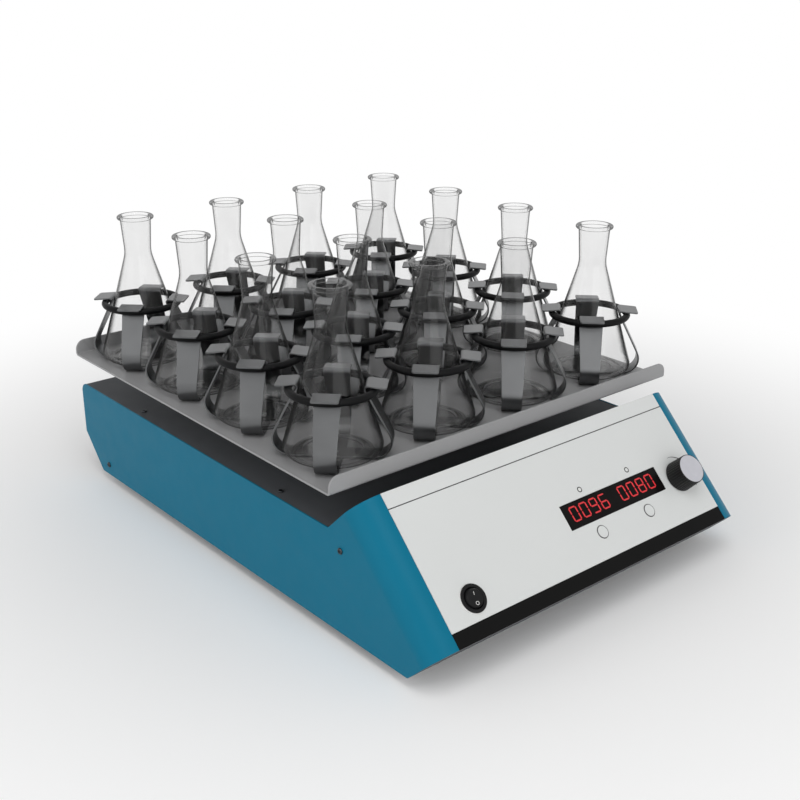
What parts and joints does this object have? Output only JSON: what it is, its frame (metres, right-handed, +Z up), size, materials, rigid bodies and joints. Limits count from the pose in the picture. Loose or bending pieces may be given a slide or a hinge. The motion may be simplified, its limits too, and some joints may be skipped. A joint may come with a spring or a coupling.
{
  "type": "orbital shaker",
  "caption": "Bench orbital shaker: low housing with a sloping control console and a circling platform whose spring clamps hold conical flasks.",
  "frame": {"origin": "on the bench, under the middle of the part's outer box", "axes": "+X to the right of someone facing the console, +Y from the console to the rear, +Z up"},
  "size_m": [0.413, 0.57, 0.2917],
  "materials": {
    "teal_paint": "satin",
    "dark_paint": "satin",
    "panel_print": "satin",
    "button_film": "satin",
    "black_strip": "satin",
    "display_filter": "gloss",
    "lens": "gloss",
    "switch_black": "semi-gloss",
    "knob_black": "matte",
    "cap_metal": "satin",
    "steel": "bright",
    "crank_steel": "machined",
    "board": "satin",
    "encoder_metal": "plain",
    "chassis_steel": "zinc plated",
    "cast_aluminium": "as cast",
    "motor_black": "satin",
    "pulley_aluminium": "machined",
    "belt_rubber": "matte",
    "supply_case": "plain",
    "inlet_black": "matte",
    "foot_rubber": "matte",
    "platform_grey": "satin",
    "spring_steel": "satin",
    "ring_rubber": "satin",
    "flask_glass": "clear"
  },
  "bodies": {
    "base": {"bottom_tray": "dark_paint", "left_side_panel": "teal_paint", "right_side_panel": "teal_paint", "top_plate": "dark_paint", "rear_panel": "dark_paint", "console_back": "dark_paint", "front_panel": "panel_print", "front_strip": "black_strip", "display_window": "display_filter", "control_board": "board", "led_lenses": "lens", "switch_body": "switch_black", "encoder": "encoder_metal", "drive_chassis": "chassis_steel", "bearing_housings": "cast_aluminium", "shaft_bearings": "steel", "motor": "motor_black", "drive_belt": "belt_rubber", "power_supply": "supply_case", "power_inlet": "inlet_black", "feet": "foot_rubber", "housing_screws": "steel"},
    "power_rocker": {"power_rocker": "switch_black"},
    "set_button": {"set_button": "button_film"},
    "start_stop_button": {"start_stop_button": "button_film"},
    "speed_knob": {"speed_knob": "knob_black", "knob_cap": "cap_metal", "encoder_shaft": "steel"},
    "crank": {"drive_crank": "crank_steel", "drive_pulley": "pulley_aluminium"},
    "motor_rotor": {"motor_pulley": "pulley_aluminium"},
    "idler_1": {"idler_crank_1": "crank_steel"},
    "idler_2": {"idler_crank_2": "crank_steel"},
    "idler_3": {"idler_crank_3": "crank_steel"},
    "platform": {"platform": "platform_grey", "platform_frame": "cast_aluminium", "pin_bearings": "steel", "platform_screws": "steel", "clamp_rings": "ring_rubber", "clamp_screws": "steel", "clamps_row_1": "spring_steel", "clamps_row_2": "spring_steel", "clamps_row_3": "spring_steel", "clamps_row_4": "spring_steel", "flask_1_1": "flask_glass", "flask_1_2": "flask_glass", "flask_1_3": "flask_glass", "flask_1_4": "flask_glass", "flask_2_1": "flask_glass", "flask_2_2": "flask_glass", "flask_2_3": "flask_glass", "flask_2_4": "flask_glass", "flask_3_1": "flask_glass", "flask_3_2": "flask_glass", "flask_3_3": "flask_glass", "flask_3_4": "flask_glass", "flask_4_1": "flask_glass", "flask_4_2": "flask_glass", "flask_4_3": "flask_glass", "flask_4_4": "flask_glass"}
  },
  "joints": [
    {"name": "crank_spin", "type": "hinge", "parent": "base", "child": "crank", "pos_m": [0, 0.0521, 0.112], "axis": [0, 0, 1], "continuous": true},
    {"name": "platform_orbit", "type": "hinge", "parent": "crank", "child": "platform", "pos_m": [0, 0.0421, 0.112], "axis": [0, 0, 1], "continuous": true},
    {"name": "motor_spin", "type": "hinge", "parent": "base", "child": "motor_rotor", "pos_m": [0, -0.0609, 0.064], "axis": [0, 0, 1], "continuous": true},
    {"name": "idler_1_spin", "type": "hinge", "parent": "base", "child": "idler_1", "pos_m": [0, 0.1871, 0.112], "axis": [0, 0, 1], "continuous": true},
    {"name": "idler_2_spin", "type": "hinge", "parent": "base", "child": "idler_2", "pos_m": [-0.11691, -0.0154, 0.112], "axis": [0, 0, 1], "continuous": true},
    {"name": "idler_3_spin", "type": "hinge", "parent": "base", "child": "idler_3", "pos_m": [0.11691, -0.0154, 0.112], "axis": [0, 0, 1], "continuous": true},
    {"name": "knob_turn", "type": "hinge", "parent": "base", "child": "speed_knob", "pos_m": [0.1415, -0.24799, 0.07998], "axis": [0, -0.7145, 0.6997], "continuous": true},
    {"name": "rocker_tip", "type": "hinge", "parent": "base", "child": "power_rocker", "pos_m": [-0.1353, -0.26317, 0.06405], "axis": [1, 0, 0], "range_deg": [-20, 0]},
    {"name": "set_button_press", "type": "slide", "parent": "base", "child": "set_button", "axis": [0, 0.7145, -0.6997], "range_m": [0, 0.001], "stiffness_N_per_m": 600, "springref_m": -0.0005},
    {"name": "start_stop_button_press", "type": "slide", "parent": "base", "child": "start_stop_button", "axis": [0, 0.7145, -0.6997], "range_m": [0, 0.001], "stiffness_N_per_m": 600, "springref_m": -0.0005}
  ],
  "couplings": [
    {"joint": "platform_orbit", "follows": "crank_spin", "ratio": -1},
    {"joint": "motor_spin", "follows": "crank_spin", "ratio": 4},
    {"joint": "idler_1_spin", "follows": "crank_spin", "ratio": 1},
    {"joint": "idler_2_spin", "follows": "crank_spin", "ratio": 1},
    {"joint": "idler_3_spin", "follows": "crank_spin", "ratio": 1}
  ]
}
